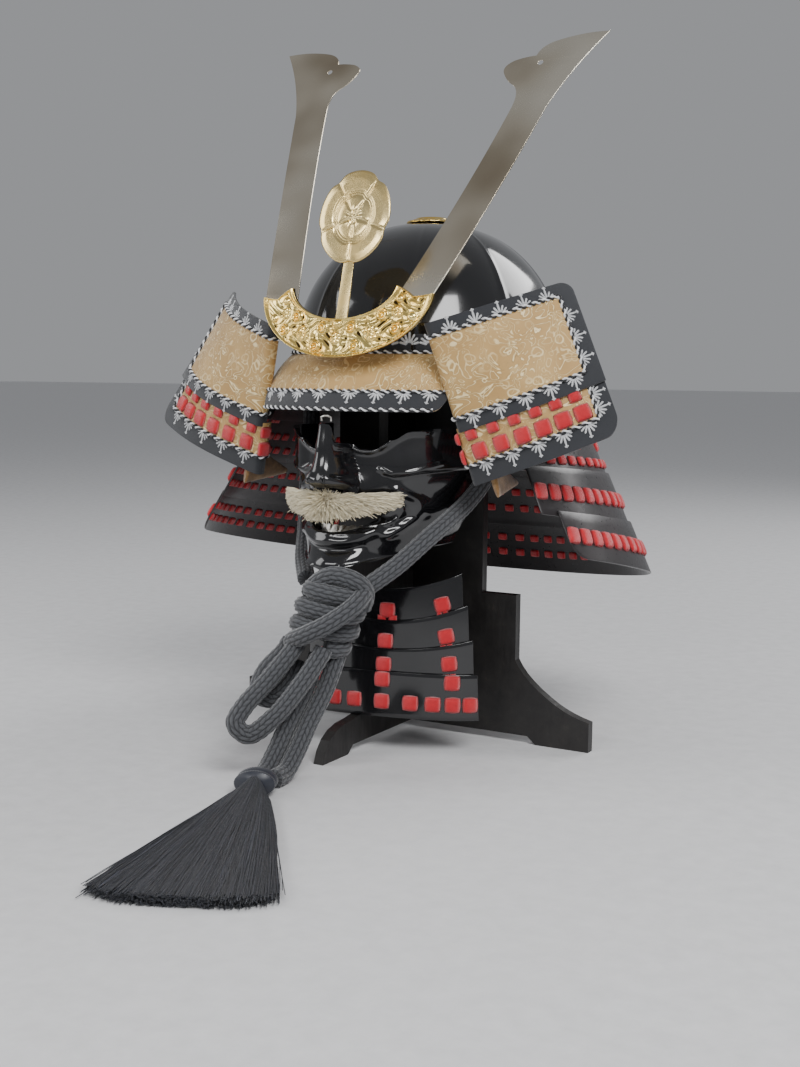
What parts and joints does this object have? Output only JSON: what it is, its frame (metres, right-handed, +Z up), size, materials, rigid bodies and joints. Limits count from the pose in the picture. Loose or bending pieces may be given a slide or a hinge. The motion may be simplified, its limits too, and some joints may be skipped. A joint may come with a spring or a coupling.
{
  "type": "kabuto samurai helmet with face mask on a plain board stand",
  "caption": "Samurai helmet with flared neck guard, turned-back wings, crescent and horn crest, half face mask, throat guard, chin cord and tassel, on a crossed board stand.",
  "frame": {"origin": "on the surface that the stand rests on, under the middle of the box round everything but the cord and tassel", "axes": "+Z up, -Y the way the face looks, +X towards the wearer's left"},
  "size_m": [0.459, 0.682, 0.6316],
  "materials": {
    "lacquer": "gloss black lacquer over iron plates",
    "embroidered_cloth": "black cloth with raised white and red thread",
    "brocade": "gold brocade with a twisted cord edge",
    "gold": "polished gilding",
    "pale_gold": "satin pale gilding",
    "nickel": "thin satin nickel plate",
    "braid": "thick round charcoal braid",
    "hair": "blue-black silk thread",
    "fur": "cream bristle",
    "suede": "brown suede",
    "board": "matt black painted board"
  },
  "bodies": {
    "root": {"bowl": "lacquer", "top_fitting": "gold", "visor": "brocade", "neck_lame_1": "lacquer", "neck_lame_2": "lacquer", "neck_lame_3": "lacquer", "neck_lame_4": "lacquer", "wing_upper_left": "brocade", "wing_upper_right": "brocade", "wing_lower_left": "embroidered_cloth", "wing_lower_right": "embroidered_cloth", "ear_flap_left": "suede", "ear_flap_right": "suede", "horn_left": "nickel", "horn_right": "nickel", "crescent_base": "gold", "crest_bracket": "gold", "crest_plate": "pale_gold", "mask": "lacquer", "moustache": "fur", "teeth": "nickel", "brow_hook": "nickel", "throat_lame_1": "lacquer", "throat_lame_2": "lacquer", "throat_lame_3": "lacquer", "throat_lame_4": "lacquer", "stand_cross_board": "board", "stand_spine_board": "board", "chin_cord_left": "braid", "chin_cord_right": "braid", "cord_knot": "braid", "cord_loop_long": "braid", "cord_loop_short": "braid", "cord_tail_1": "braid", "cord_tail_2": "braid", "tassel_head": "hair", "tassel_hair": "hair"}
  },
  "joints": []
}
